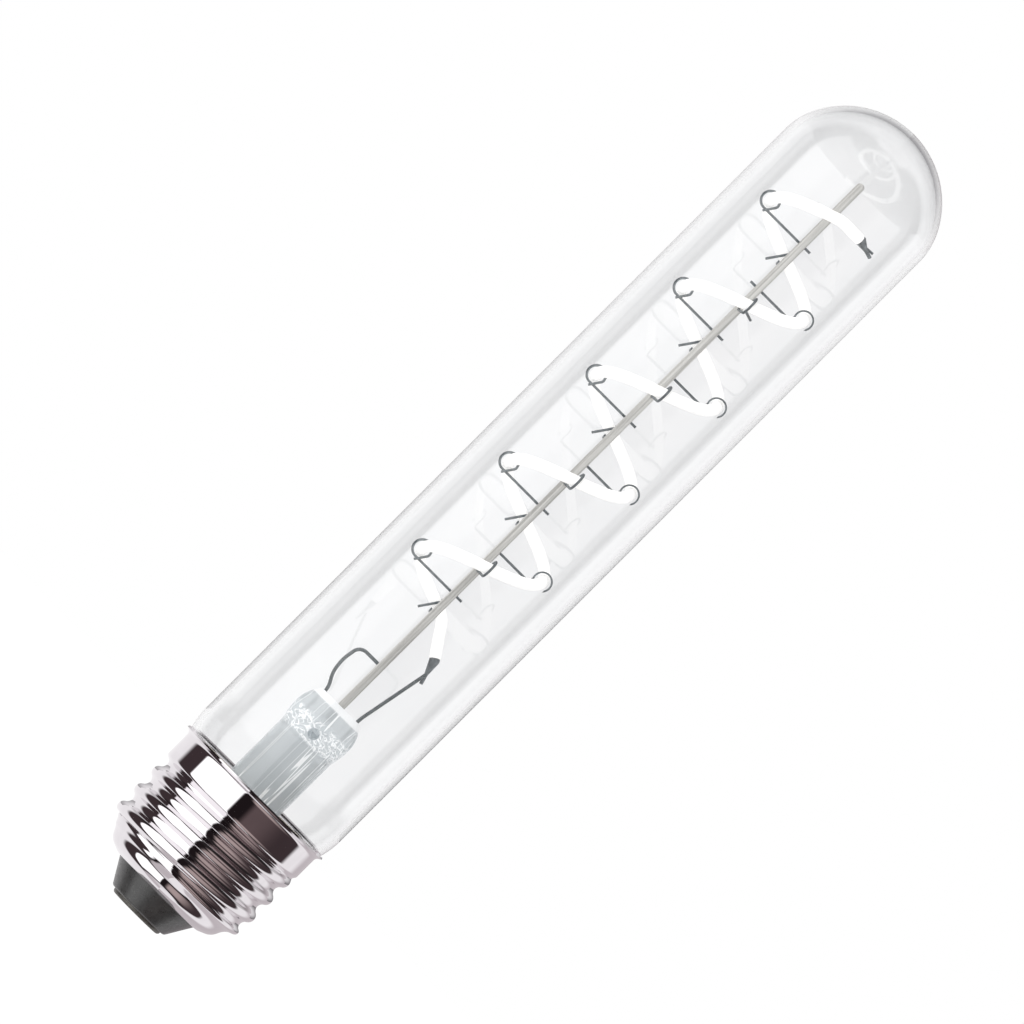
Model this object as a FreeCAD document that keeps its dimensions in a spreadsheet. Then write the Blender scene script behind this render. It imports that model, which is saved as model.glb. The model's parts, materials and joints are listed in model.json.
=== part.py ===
import FreeCAD, Part
import Sketcher
import math
import os

# Tubular filament bulb with a 26.4 mm Edison screw cap.
# The axis is Z, the cap is down, and the origin is the lower face of the centre contact.

V = FreeCAD.Vector
doc = FreeCAD.newDocument("tubular_bulb")
sheet = doc.addObject("Spreadsheet::Sheet", "size")

# Driving dimensions, in millimetres and degrees
DIMENSIONS = [
    ("contact_proud", 0.6, "centre contact below the insulator"),
    ("contact_dia", 9.4, "centre contact disc"),
    ("hub_dia", 3.2, "tubular rivet of the centre contact"),
    ("insulator_small_dia", 10.8, "insulator at its lower face"),
    ("insulator_large_dia", 15.35, "insulator where it enters the shell"),
    ("insulator_height", 4.0, "insulator below the shell"),
    ("seat_rise", 0.9, "insulator's underside in the bowl"),
    ("rim_rise", 2.0, "insulator's rim over its seat"),
    ("ledge_height", 1.5, "ring that carries the driver board"),
    ("ledge_width", 1.5, "width of that ring"),
    ("recess_depth", 0.9, "recess of the insulator inside that ring"),
    ("thread_major_dia", 26.4, "screw shell over its crests"),
    ("thread_depth", 1.05, "crest to root"),
    ("thread_pitch", 3.629, "seven threads per inch"),
    ("first_crest", 8.0, "height over the contact of the crest on +X"),
    ("shell_wall", 0.3, "sheet that the shell is rolled from"),
    ("bowl_flat", 0.575, "flat ring of the bowl round the insulator"),
    ("bowl_corner", 0.47, "bowl's lower corner, as a share of the way from its hole to the crests"),
    ("bowl_rise", 0.85, "height of that corner in the bowl"),
    ("bowl_waist", 0.66, "bowl under the thread, as such a share"),
    ("waist_height", 2.95, "height of that waist in the bowl"),
    ("bowl_height", 3.65, "bowl up to the crests"),
    ("threaded_height", 12.4, "from the bowl to the collar"),
    ("collar_height", 3.6, "plain collar"),
    ("lip_height", 0.8, "flared lip"),
    ("lip_flare", 0.8, "edge of the lip beyond the crests"),
    ("fade_under", 0.85, "height in the bowl over which the thread fades in"),
    ("fade_over", 1.4, "height under the collar over which it fades out"),
    ("tube_dia", 28.0, "glass tube"),
    ("glass_wall", 0.9, "wall of the glass tube"),
    ("bulb_height", 162.7, "contact to the top of the dome"),
    ("dome_rise", 0.9143, "dome's height as a share of the tube's radius"),
    ("dome_knuckle", 0.7857, "radius where the dome leaves the tube, as such a share"),
    ("lip_seat", 0.6, "edge of the lip beyond the glass that it holds"),
    ("shoulder_height", 3.75, "rounding of the glass over the lip"),
    ("neck_gap", 0.25, "from the neck to a root of the thread"),
    ("neck_wall", 0.9, "wall of the neck"),
    ("neck_length", 7.3, "straight part of the neck"),
    ("taper_height", 2.3, "from the neck to the lip"),
    ("flare_tube_dia", 10.0, "tube of the stem"),
    ("flare_wall", 0.8, "wall of the stem's tube"),
    ("flare_radius", 8.0, "trumpet that meets the neck"),
    ("press_base", 35.6, "height where the tube is pinched"),
    ("press_width", 10.9, "widest part of the press"),
    ("press_depth", 4.8, "thickness of the press"),
    ("press_height", 7.5, "height of the press"),
    ("press_top_width", 8.6, "press at its top"),
    ("exhaust_dia", 3.6, "exhaust tube"),
    ("exhaust_bore", 2.0, "bore of the exhaust tube"),
    ("exhaust_end", 17.0, "sealed tip over the contact"),
    ("exhaust_entry", 0.7, "depth of its seat in the press"),
    ("blow_hole_dia", 1.8, "hole from the bore to the bulb"),
    ("rod_dia", 1.3, "centre rod"),
    ("rod_foot", 40.2, "lower end of the rod in the press"),
    ("rod_gap", 10.6, "top of the dome over the rod"),
    ("filament_radius", 8.0, "spiral of the filament"),
    ("filament_dia", 1.75, "section of the filament"),
    ("filament_turns", 4.54, "turns of the regular spiral"),
    ("filament_low", 63.45, "height of the spiral's lower end"),
    ("filament_gap", 16.62, "top of the dome over the spiral's upper end"),
    ("tail_side", 4.9, "lower tail, reach to the right"),
    ("tail_front", 1.7, "lower tail, reach to the front"),
    ("tail_drop", 5.7, "lower tail, drop"),
    ("head_side", 3.3, "upper end, reach to the right of the spiral"),
    ("head_back", 1.8, "upper end, reach to the back"),
    ("head_rise", 0.1, "upper end, rise"),
    ("end_bend", 4.0, "bend radius at both ends"),
    ("hook_wire", 0.4, "wire of the hooks"),
    ("hook_loop", 1.42, "loop of a hook, to the wire's centre"),
    ("hook_tail", 0.45, "end of a left hook below its leg"),
    ("hook_bend", 0.5, "bend from its loop into that end"),
    ("hook_stub", 1.0, "wire beyond the rod"),
    ("lead_wire", 0.55, "wire of the leads"),
    ("lead_inset", 0.9, "leads inside the bore of the stem's tube"),
    ("lead_join", 1.8, "join of the leads over the base of the press"),
    ("lead_rise", 8.3, "left lead over the press"),
    ("lead_bulge", 2.2, "left lead out from its hole"),
    ("lead_lap", 1.1, "right lead beside the tail of the lower tab"),
    ("lead_clear", 1.2, "straight run of the right lead over the press"),
    ("tab_length", 2.6, "taper of the metal tab at the filament's lower end"),
    ("tab_tip", 0.5, "thin tail of a tab"),
    ("tab_tail", 1.65, "length of that tail"),
    ("board_inset", 0.95, "driver board's edge inside the insulator's rim"),
    ("board_thickness", 1.0, "driver board"),
    ("wire_hole_inset", 1.5, "hole for the shell's wire from the board's edge"),
    ("chip_height", 1.5, "rectifier and driver chip"),
    ("chip_leg", 0.5, "width and length of their legs"),
    ("rectifier_width", 2.6, "bridge rectifier"),
    ("rectifier_length", 3.9, "bridge rectifier"),
    ("rectifier_side", 6.3, "bridge rectifier from the axis"),
    ("driver_width", 4.9, "driver chip"),
    ("driver_length", 2.9, "driver chip"),
    ("driver_back", 5.2, "driver chip from the axis"),
    ("capacitor_dia", 5.0, "filter capacitor"),
    ("capacitor_height", 5.0, "filter capacitor"),
    ("capacitor_front", 5.1, "filter capacitor from the axis"),
    ("resistor_dia", 2.2, "fusible resistor"),
    ("resistor_length", 5.0, "fusible resistor"),
    ("resistor_side", 6.3, "fusible resistor from the axis"),
    ("fit", 0.05, "clearance between seated pieces"),
    ("wire_fit", 0.02, "clearance round a wire"),
]
for row, (name, amount, note) in enumerate(DIMENSIONS, start=1):
    sheet.set(f"A{row}", note)
    sheet.set(f"B{row}", str(amount))
    sheet.setAlias(f"B{row}", name)
doc.recompute()


def cell(name):
    """The number in the sheet's cell of that name."""
    return float(getattr(sheet, name))


def number(expression):
    """What an expression of the sheet's cells comes to."""
    return float(sheet.evalExpression(expression.replace("size.", "")))


def bind(thing, **expressions):
    """Ties properties of a document object to expressions of the sheet."""
    for name, expression in expressions.items():
        thing.setExpression(name.replace("__", "."), expression)


# Heights and radii that several pieces share, as expressions of the sheet
SHELL_FOOT = "size.contact_proud + size.insulator_height"
BOWL_TOP = f"{SHELL_FOOT} + size.bowl_height"
COLLAR_FOOT = f"{BOWL_TOP} + size.threaded_height"
LIP_FOOT = f"{COLLAR_FOOT} + size.collar_height"
LIP_TOP = f"{LIP_FOOT} + size.lip_height"
SHELL_INNER = "size.thread_major_dia / 2 - size.shell_wall"
LIP_RADIUS = "(size.thread_major_dia / 2 + size.lip_flare)"
GLASS_LIP_RADIUS = f"({LIP_RADIUS} - size.lip_seat)"
SHOULDER_TOP = f"{LIP_TOP} + size.shoulder_height"
NECK_RADIUS = f"({SHELL_INNER} - size.thread_depth - size.neck_gap)"
NECK_TOP = f"{LIP_TOP} - size.taper_height"
NECK_FOOT = f"{NECK_TOP} - size.neck_length"
HOLE_RADIUS = "(size.insulator_large_dia / 2 + size.fit)"
BOWL_DEPTH = f"(size.thread_major_dia / 2 - {HOLE_RADIUS})"
CORNER_RADIUS = f"({HOLE_RADIUS} + size.bowl_corner * {BOWL_DEPTH})"
WAIST_RADIUS = f"({HOLE_RADIUS} + size.bowl_waist * {BOWL_DEPTH})"
SEAT_RADIUS = f"({HOLE_RADIUS} + 0.83 * size.bowl_corner * {BOWL_DEPTH})"
RIM_RADIUS = f"({HOLE_RADIUS} + 1.06 * size.bowl_corner * {BOWL_DEPTH})"
INSULATOR_SEAT = f"{SHELL_FOOT} + size.shell_wall + size.fit"
BOARD_FOOT = f"{INSULATOR_SEAT} + size.rim_rise + size.ledge_height"
BOARD_TOP = f"{BOARD_FOOT} + size.board_thickness"
BOARD_RADIUS = f"({RIM_RADIUS} - size.board_inset)"
WIRE_HOLE_RADIUS = f"({BOARD_RADIUS} - size.wire_hole_inset)"
PRESS_TOP = "size.press_base + size.press_height"
LEAD_SPREAD = "(size.flare_tube_dia / 2 - size.flare_wall - size.lead_inset)"
JOIN_HEIGHT = "size.press_base + size.lead_join"
ROD_TOP = "size.bulb_height - size.rod_gap"
FILAMENT_PITCH = "(size.bulb_height - size.filament_gap - size.filament_low) / size.filament_turns"


def origin_plane(body, role):
    """The body's own origin plane with that role."""
    return [f for f in body.Origin.OriginFeatures if f.Role == role][0]


def outline(body, name, points, arcs=None):
    """A closed sketch on the body's XZ plane.

    points are pairs of expressions, radius and height. arcs maps the number of an edge to
    (radius expression, side), where side is +1 when the arc's centre lies left of the edge.
    """
    arcs = arcs or {}
    sketch = body.newObject("Sketcher::SketchObject", name)
    sketch.AttachmentSupport = [(origin_plane(body, "XZ_Plane"), "")]
    sketch.MapMode = "FlatFace"
    corners = [V(number(x), number(z), 0) for x, z in points]
    ends = []
    for i, start in enumerate(corners):
        end = corners[(i + 1) % len(corners)]
        if i in arcs:
            expression, side = arcs[i]
            radius = number(expression)
            chord = end - start
            left = V(-chord.y, chord.x, 0).normalize()
            rise = math.sqrt(radius**2 - chord.Length**2 / 4)
            centre = (start + end) * 0.5 + left * (side * rise)
            first, last = (start, end) if side > 0 else (end, start)
            circle = Part.Circle(centre, V(0, 0, 1), radius)
            angles = [math.atan2(p.y - centre.y, p.x - centre.x) for p in (first, last)]
            edge = sketch.addGeometry(Part.ArcOfCircle(circle, *angles), False)
            ends.append((edge, 1, 2) if side > 0 else (edge, 2, 1))
        else:
            edge = sketch.addGeometry(Part.LineSegment(start, end), False)
            ends.append((edge, 1, 2))
    for i, (edge, start, _) in enumerate(ends):
        before, _, end = ends[i - 1]
        sketch.addConstraint(Sketcher.Constraint("Coincident", before, end, edge, start))
    for (edge, start, _), (x, z), corner in zip(ends, points, corners):
        for kind, expression, size in (("X", x, corner.x), ("Y", z, corner.y)):
            if abs(size) < 1e-9:
                axis = -2 if kind == "X" else -1
                sketch.addConstraint(Sketcher.Constraint("PointOnObject", edge, start, axis))
                continue
            rule = Sketcher.Constraint("Distance" + kind, -1, 1, edge, start, size)
            sketch.setExpression(f"Constraints[{sketch.addConstraint(rule)}]", expression)
    for i, (expression, _) in arcs.items():
        rule = Sketcher.Constraint("Radius", ends[i][0], number(expression))
        sketch.setExpression(f"Constraints[{sketch.addConstraint(rule)}]", expression)
    return sketch


def turned(name, points, arcs=None):
    """A body turned about the bulb's axis from an outline."""
    body = doc.addObject("PartDesign::Body", name)
    sketch = outline(body, name + "_outline", points, arcs)
    revolution = body.newObject("PartDesign::Revolution", name + "_turned")
    revolution.Profile = sketch
    revolution.ReferenceAxis = (sketch, ["V_Axis"])
    revolution.Angle = 360
    sketch.Visibility = False
    doc.recompute()
    return body


def cylinder(name, dia, foot, height, x="0", y="0"):
    """An upright cylinder whose sizes are expressions."""
    solid = doc.addObject("Part::Cylinder", name)
    bind(solid, Radius=f"({dia}) / 2", Height=height)
    bind(solid, Placement__Base__x=x, Placement__Base__y=y, Placement__Base__z=foot)
    return solid


def cut(name, base, tools):
    """A base with one or more tools cut away."""
    tool = tools[0]
    if len(tools) > 1:
        tool = doc.addObject("Part::MultiFuse", name + "_tools")
        tool.Shapes = tools
    result = doc.addObject("Part::Cut", name)
    result.Base = base
    result.Tool = tool
    return result


def feature(name, shape, placement=None):
    """A document object that holds a finished shape, and then its place."""
    thing = doc.addObject("Part::Feature", name)
    thing.Shape = shape
    thing.Placement = placement or FreeCAD.Placement()
    return thing


def bent_path(points, tightness=0.45):
    """Straight runs joined by tangent arcs, each as large as its two runs allow."""
    edges = []
    last = points[0]
    for before, corner, after in zip(points, points[1:], points[2:]):
        back = before - corner
        ahead = after - corner
        reach = tightness * min(back.Length, ahead.Length)
        back.normalize()
        ahead.normalize()
        half = back.getAngle(ahead) / 2
        radius = reach * math.tan(half)
        start = corner + back * reach
        end = corner + ahead * reach
        middle = (back + ahead).normalize()
        top = corner + middle * (radius / math.sin(half) - radius)
        if (start - last).Length > 1e-6:
            edges.append(Part.LineSegment(last, start).toShape())
        edges.append(Part.Arc(start, top, end).toShape())
        last = end
    edges.append(Part.LineSegment(last, points[-1]).toShape())
    return Part.Wire(edges)


def drawn(path, dia):
    """A round wire drawn along a path."""
    start = path.OrderedVertexes[0].Point
    first = path.OrderedEdges[0]
    at = first.FirstParameter if first.valueAt(first.FirstParameter).isEqual(start, 1e-6) \
        else first.LastParameter
    ring = Part.Wire([Part.Circle(start, first.tangentAt(at), dia / 2).toShape()])
    return path.makePipeShell([ring], True, False)


# Screw shell
# The sheet's outline is turned round the axis, and the rolled thread presses it in by the
# thread's depth along a right-handed helix. The thread fades out under the collar and in the bowl.
SIDES = 24
POINTS_PER_PITCH = 13


def thread_wave(turns):
    """Depth share of the rolled profile: 0 at a crest, 1 at a root, equal arcs between."""
    depth = cell("thread_depth")
    quarter = cell("thread_pitch") / 4
    flank = 2 * math.atan(depth / 2 / quarter)
    radius = quarter / math.sin(flank)
    reach = abs((turns + 0.5) % 1.0 - 0.5) * 4 * quarter
    if reach < quarter:
        return (radius - math.sqrt(radius**2 - reach**2)) / depth
    rest = 2 * quarter - reach
    return 1 - (radius - math.sqrt(radius**2 - rest**2)) / depth


def crest_height(angle):
    """Height of the lowest crest at an angle in degrees from +X."""
    return cell("first_crest") + cell("thread_pitch") * angle / 360


def fade(low, high, height):
    """0 below low, 1 above high, smooth between."""
    share = min(max((height - low) / (high - low), 0), 1)
    return share * share * (3 - 2 * share)


def rolled_columns(sides):
    """Outer and inner points of the sheet, one column of (radius, height) for each side."""
    foot = number(SHELL_FOOT)
    bowl_top = number(BOWL_TOP)
    collar = number(COLLAR_FOOT)
    lip = number(LIP_TOP)
    major = cell("thread_major_dia") / 2
    hole = number(HOLE_RADIUS)
    wall = cell("shell_wall")
    pitch = cell("thread_pitch")
    corners = [
        V(hole, 0, foot),
        V(hole + cell("bowl_flat"), 0, foot),
        V(number(CORNER_RADIUS), 0, foot + cell("bowl_rise")),
        V(number(WAIST_RADIUS), 0, foot + cell("waist_height")),
        V(major, 0, bowl_top),
        V(major, 0, lip - cell("lip_height")),
        V(number(LIP_RADIUS), 0, lip),
    ]
    sheet_line = bent_path(corners, 0.42)
    count = int(sheet_line.Length / pitch * POINTS_PER_PITCH)
    line = sheet_line.discretize(Number=count)
    outer, inner = [], []
    for side in range(sides):
        crest = crest_height(360 * side / sides)
        column = []
        for i, point in enumerate(line):
            run = (line[min(i + 1, count - 1)] - line[max(i - 1, 0)]).normalize()
            strength = fade(bowl_top - cell("fade_under"), bowl_top, point.z)
            strength *= 1 - fade(collar - cell("fade_over"), collar, point.z)
            press = cell("thread_depth") * strength * thread_wave((point.z - crest) / pitch)
            column.append((point.x - run.z * press, point.z + run.x * press))
        outer.append(column)
        lining = []
        for i, (radius, height) in enumerate(column):
            before, after = column[max(i - 1, 0)], column[min(i + 1, count - 1)]
            run = V(after[0] - before[0], 0, after[1] - before[1]).normalize()
            lining.append((radius - wall * run.z, height + wall * run.x))
        inner.append(lining)
    return outer, inner


def smooth_skin(columns):
    """A smooth face through columns of points, closed round the axis."""
    sides = len(columns)
    rows = len(columns[0])
    grid = []
    for side, column in enumerate(columns):
        turn = 2 * math.pi * side / sides
        grid.append([V(r * math.cos(turn), r * math.sin(turn), z) for r, z in column])
    poles = [list(column) for column in grid]
    # a smooth face cuts inside its poles, so each pole moves out by what the face misses
    for _ in range(12):
        moved = []
        for s in range(sides):
            column = []
            for i in range(rows):
                total = V()
                for ds, share in ((-1, 1), (0, 4), (1, 1)):
                    near = poles[(s + ds) % sides]
                    low, high = (i, i) if i in (0, rows - 1) else (i - 1, i + 1)
                    total += (near[low] + near[i] * 4 + near[high]) * (share / 36)
                column.append(poles[s][i] + grid[s][i] - total)
            moved.append(column)
        poles = moved
    spans = rows - 3
    surface = Part.BSplineSurface()
    surface.buildFromPolesMultsKnots(
        [[poles[s][i] for s in range(sides)] for i in range(rows)],
        [4] + [1] * (spans - 1) + [4],
        [1] * (sides + 1),
        [float(k) for k in range(spans + 1)],
        [float(k) for k in range(sides + 1)],
        False,
        True,
        3,
        3,
    )
    return surface.toShape()


def ring_edge(face, height):
    """The closed edge of a face that lies nearest to a height."""
    rings = [e for e in face.Edges if e.isClosed()]
    return min(rings, key=lambda e: abs(e.BoundBox.Center.z - height))


def screw_shell():
    outer, inner = rolled_columns(SIDES)
    skin = smooth_skin(outer)
    lining = smooth_skin(inner)
    faces = [skin, lining]
    for index in (0, -1):
        height = outer[0][index][1]
        edges = ring_edge(skin, height), ring_edge(lining, height)
        faces.append(Part.makeRuledSurface(*edges))
    shell = Part.makeShell(faces)
    shell.sewShape()
    solid = Part.makeSolid(shell)
    if solid.Volume < 0:
        solid.reverse()
    return feature("screw_shell", solid)


# Insulator and centre contact
def insulator():
    foot = "size.contact_proud"
    large = "size.insulator_large_dia / 2"
    bore = "size.hub_dia / 2 + size.fit"
    ledge = f"{RIM_RADIUS} - size.ledge_width"
    recess = f"{BOARD_FOOT} - size.recess_depth"
    return turned(
        "insulator",
        [
            (bore, foot),
            ("size.insulator_small_dia / 2 - 0.4", foot),
            ("size.insulator_small_dia / 2 + 0.1", f"{foot} + 0.35"),
            (large, SHELL_FOOT),
            (large, INSULATOR_SEAT),
            (SEAT_RADIUS, f"{INSULATOR_SEAT} + size.seat_rise"),
            (RIM_RADIUS, f"{INSULATOR_SEAT} + size.rim_rise"),
            (RIM_RADIUS, BOARD_FOOT),
            (ledge, BOARD_FOOT),
            (ledge, recess),
            (bore, recess),
        ],
        {1: ("0.6", 1)},
    )


def centre_contact():
    proud = "size.contact_proud"
    head = f"{BOARD_FOOT} - size.recess_depth + 0.3"
    bore = "size.lead_wire / 2 + size.wire_fit"
    return turned(
        "centre_contact",
        [
            ("0", "0"),
            ("size.contact_dia / 2 - 0.4", "0"),
            ("size.contact_dia / 2", f"{proud} - 0.2"),
            ("size.contact_dia / 2", proud),
            ("size.hub_dia / 2", proud),
            ("size.hub_dia / 2", head),
            (bore, head),
            (bore, f"{proud} * 2"),
            ("0", f"{proud} * 2"),
        ],
        {1: ("0.5", 1)},
    )


# Glass
def tangent_radius(inset, height):
    """Radius of an arc that is upright at one end and moves sideways by inset over height."""
    return f"((({inset}) ^ 2 + ({height}) ^ 2) / (2 * abs({inset})))"


def glass_envelope():
    outer = "size.tube_dia / 2"
    wall = "size.glass_wall"
    inner = f"{outer} - {wall}"
    bore = f"{NECK_RADIUS} - size.neck_wall"
    rise = f"({outer} * size.dome_rise)"
    bend = f"({outer} * size.dome_knuckle)"
    dome_foot = f"size.bulb_height - {rise}"

    def dome(radius, height, knuckle):
        """Crown radius and the point where it meets the knuckle, as expressions."""
        crown = (
            f"((({height}) ^ 2 + ({radius} - {knuckle}) ^ 2 - ({knuckle}) ^ 2)"
            f" / (2 * ({height} - {knuckle})))"
        )
        share = f"({crown} / ({crown} - {knuckle}))"
        meet_x = f"({radius} - {knuckle}) * {share}"
        centre = f"({height} - {crown})"
        meet_z = f"({dome_foot} + {centre} - {centre} * {share})"
        return crown, meet_x, meet_z

    crown, meet_x, meet_z = dome(outer, rise, bend)
    inner_crown, inner_x, inner_z = dome(inner, f"({rise} - {wall})", f"({bend} - {wall})")

    # the shoulder leads from the lip out to a wide tube, or in to a narrow one
    lip_bore = f"({GLASS_LIP_RADIUS} - {wall})"
    lip_bore_height = f"({LIP_TOP} + 0.2)"
    inset = f"({outer} - {GLASS_LIP_RADIUS})"
    side = 1 if number(inset) > 0 else -1
    shoulder = tangent_radius(inset, "size.shoulder_height")
    inner_shoulder = tangent_radius(inset, f"{SHOULDER_TOP} - {lip_bore_height}")
    points = [
        (NECK_RADIUS, NECK_FOOT),
        (NECK_RADIUS, NECK_TOP),
        (GLASS_LIP_RADIUS, LIP_TOP),
        (outer, SHOULDER_TOP),
        (outer, dome_foot),
        (meet_x, meet_z),
        ("0", "size.bulb_height"),
        ("0", f"size.bulb_height - {wall}"),
        (inner_x, inner_z),
        (inner, dome_foot),
        (inner, SHOULDER_TOP),
        (lip_bore, lip_bore_height),
        (bore, f"{NECK_TOP} + 0.3"),
        (bore, NECK_FOOT),
    ]
    arcs = {
        2: (shoulder, side),
        4: (bend, 1),
        5: (crown, 1),
        7: (inner_crown, -1),
        8: (f"{bend} - {wall}", -1),
        10: (inner_shoulder, -side),
    }
    return turned("glass_envelope", points, arcs)


def cap_cement():
    slope = f"(({GLASS_LIP_RADIUS} - {NECK_RADIUS}) / size.taper_height)"
    neck = f"{NECK_RADIUS} + size.fit"
    top = f"{LIP_FOOT} - 0.3"
    outer = f"{SHELL_INNER} - size.fit"
    return turned(
        "cap_cement",
        [
            (neck, f"{COLLAR_FOOT} + 0.4"),
            (outer, f"{COLLAR_FOOT} + 0.4"),
            (outer, top),
            (f"{neck} + size.fit + ({top} - ({NECK_TOP})) * {slope}", top),
            (neck, NECK_TOP),
        ],
    )


def stem():
    tube = "size.flare_tube_dia / 2"
    bore = f"({tube} - size.flare_wall)"
    edge = f"({NECK_RADIUS} - size.neck_wall - size.fit)"
    bend = "size.flare_radius"
    under = f"({bend} + size.flare_wall)"
    start = f"({NECK_FOOT} + size.flare_wall * 0.1 + {under})"
    upper = f"{start} - sqrt({bend} ^ 2 - ({bend} - {edge} + {tube}) ^ 2)"
    lower = f"{start} - sqrt({under} ^ 2 - ({under} - {edge} + {bore}) ^ 2)"
    flare = turned(
        "flare",
        [
            (edge, lower),
            (edge, upper),
            (tube, start),
            (tube, "size.press_base"),
            ("0", "size.press_base"),
            ("0", "size.press_base - size.flare_wall"),
            (bore, "size.press_base - size.flare_wall"),
            (bore, start),
        ],
        {1: (bend, -1), 7: (under, 1)},
    )
    # the press is the same tube pinched flat while soft
    sections = [
        ("(size.flare_tube_dia - 0.1)", "(size.flare_tube_dia - 0.1)", "0"),
        ("(size.flare_tube_dia + 0.5)", "(size.flare_tube_dia * 0.78)", "0.2"),
        ("size.press_width", "size.press_depth", "0.46"),
        ("(size.press_width * 0.94)", "(size.press_depth * 0.92)", "0.72"),
        ("size.press_top_width", "(size.press_depth * 0.8)", "0.93"),
        ("(size.press_top_width - 0.7)", "(size.press_depth * 0.66)", "1"),
    ]
    rings = []
    for i, (wide, deep, share) in enumerate(sections):
        ring = doc.addObject("Part::Ellipse", f"press_section_{i + 1}")
        bind(ring, MajorRadius=f"{wide} / 2", MinorRadius=f"{deep} / 2")
        bind(ring, Placement__Base__z=f"size.press_base + {share} * size.press_height")
        rings.append(ring)
    press = doc.addObject("Part::Loft", "press")
    press.Sections = rings
    press.Solid = True
    blank = doc.addObject("Part::Fuse", "stem_blank")
    blank.Base = flare
    blank.Tool = press
    entry = "size.press_base + size.exhaust_entry"
    tools = [
        cylinder(
            "exhaust_seat",
            "size.exhaust_dia + 2 * size.wire_fit",
            "size.press_base - 2",
            "2 + size.exhaust_entry + size.wire_fit",
        ),
        cylinder("blow_passage", "size.exhaust_bore", entry, "1.2"),
        cylinder(
            "rod_seat",
            "size.rod_dia + 2 * size.wire_fit",
            "size.rod_foot - size.wire_fit",
            f"{PRESS_TOP} - size.rod_foot + 1",
        ),
    ]
    for side, x in (("left", f"-{LEAD_SPREAD}"), ("right", LEAD_SPREAD)):
        dia = "size.lead_wire + 2 * size.wire_fit"
        foot = "size.press_base - 2"
        height = "size.press_height + 3"
        tools.append(cylinder(f"lead_hole_{side}", dia, foot, height, x=x))
    blow = cylinder("blow_hole", "size.blow_hole_dia", f"{entry} + 1.1", "6")
    blow.Placement.Rotation = FreeCAD.Rotation(V(1, 0, 0), 90)
    tools.append(blow)
    return cut("stem", blank, tools)


def exhaust_tube():
    outer = "size.exhaust_dia / 2"
    bore = "size.exhaust_bore / 2"
    top = "size.press_base + size.exhaust_entry"
    return turned(
        "exhaust_tube",
        [
            ("0", "size.exhaust_end"),
            (outer, f"size.exhaust_end + {outer}"),
            (outer, top),
            (bore, top),
            (bore, f"size.exhaust_end + {outer}"),
            ("0", f"size.exhaust_end + {outer} - {bore}"),
        ],
        {0: (outer, 1), 4: (bore, -1)},
    )


# Filament
# The spiral climbs counter-clockwise seen from the dome, which is a right-handed helix.
LOW_ANGLE = 90.0
LOW_TAB_HEADING = V(1.2, -0.4, -4.2).normalize()
HIGH_TAB_HEADING = V(2.3, 1.2, -0.9).normalize()


def spiral_point(angle):
    """The filament's centre at an angle in degrees, counted up from the spiral's lower end."""
    turn = math.radians(LOW_ANGLE + angle)
    radius = cell("filament_radius")
    height = cell("filament_low") + number(FILAMENT_PITCH) * angle / 360
    return V(radius * math.cos(turn), radius * math.sin(turn), height)


def spiral_tangent(angle):
    """The filament's upward direction at that angle."""
    turn = math.radians(LOW_ANGLE + angle)
    rise = number(FILAMENT_PITCH) / (2 * math.pi * cell("filament_radius"))
    return V(-math.sin(turn), math.cos(turn), rise).normalize()


def run_out(start, heading, target, radius):
    """An arc that leaves start along heading, and the straight run from it to the target."""
    away = target - start
    side = (away - heading * away.dot(heading)).normalize()
    along, across = away.dot(heading), away.dot(side)
    # a larger arc would go round the target
    radius = min(radius, 0.45 * away.Length**2 / across)
    reach = math.hypot(along, across - radius)
    turn = math.atan2(across - radius, along) + math.asin(radius / reach)

    def at(angle):
        return start + heading * (radius * math.sin(angle)) + side * (radius * (1 - math.cos(angle)))

    edges = [
        Part.Arc(start, at(turn / 2), at(turn)).toShape(),
        Part.LineSegment(at(turn), target).toShape(),
    ]
    return edges, (target - at(turn)).normalize()


top_angle = 360 * cell("filament_turns")
low_end = spiral_point(0) + V(cell("tail_side"), -cell("tail_front"), -cell("tail_drop"))
high_end = spiral_point(top_angle) + V(cell("head_side"), cell("head_back"), cell("head_rise"))
low_edges, low_heading = run_out(
    spiral_point(0), spiral_tangent(0) * -1, low_end, cell("end_bend")
)
high_edges, high_heading = run_out(
    spiral_point(top_angle), spiral_tangent(top_angle), high_end, cell("end_bend")
)


def led_filament():
    pitch = number(FILAMENT_PITCH)
    helix = Part.makeHelix(pitch, pitch * cell("filament_turns"), cell("filament_radius"))
    helix.rotate(V(), V(0, 0, 1), LOW_ANGLE)
    helix.translate(V(0, 0, cell("filament_low")))
    dia = cell("filament_dia")
    pieces = []
    for edges in (low_edges, high_edges):
        pieces.append(drawn(Part.Wire(edges), dia))
    ring = Part.Wire([Part.Circle(spiral_point(0), spiral_tangent(0), dia / 2).toShape()])
    pieces.append(Part.Wire(helix).makePipeShell([ring], True, True))
    return feature("led_filament", pieces[2].fuse(pieces[:2]))


def filament_tab(name, end, end_heading, heading, length):
    """A crimped tab: it tapers from the filament's end face to a thin tail."""
    tip = cell("tab_tip") / 2
    tail_foot = end + heading * length
    wide = Part.Circle(end + end_heading * cell("wire_fit"), end_heading, cell("filament_dia") * 0.48)
    thin = Part.Circle(tail_foot, heading, tip)
    taper = Part.makeLoft([Part.Wire([c.toShape()]) for c in (wide, thin)], True, True)
    tail = Part.makeCylinder(tip, cell("tab_tail"), tail_foot, heading)
    return feature(name, taper.fuse(tail))


# Hooks
# Each hook is one wire. Its leg runs from the rod to the filament, and its loop goes round it.
# Angle of each row of hooks from +X, and how far the row's loops lean, in degrees
HOOK_ROWS = {
    "left": (180.0, 0.0),
    "front": (-82.0, 0.0),
    "right": (0.0, 0.0),
    "back": (98.0, -20.0),
}
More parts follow.
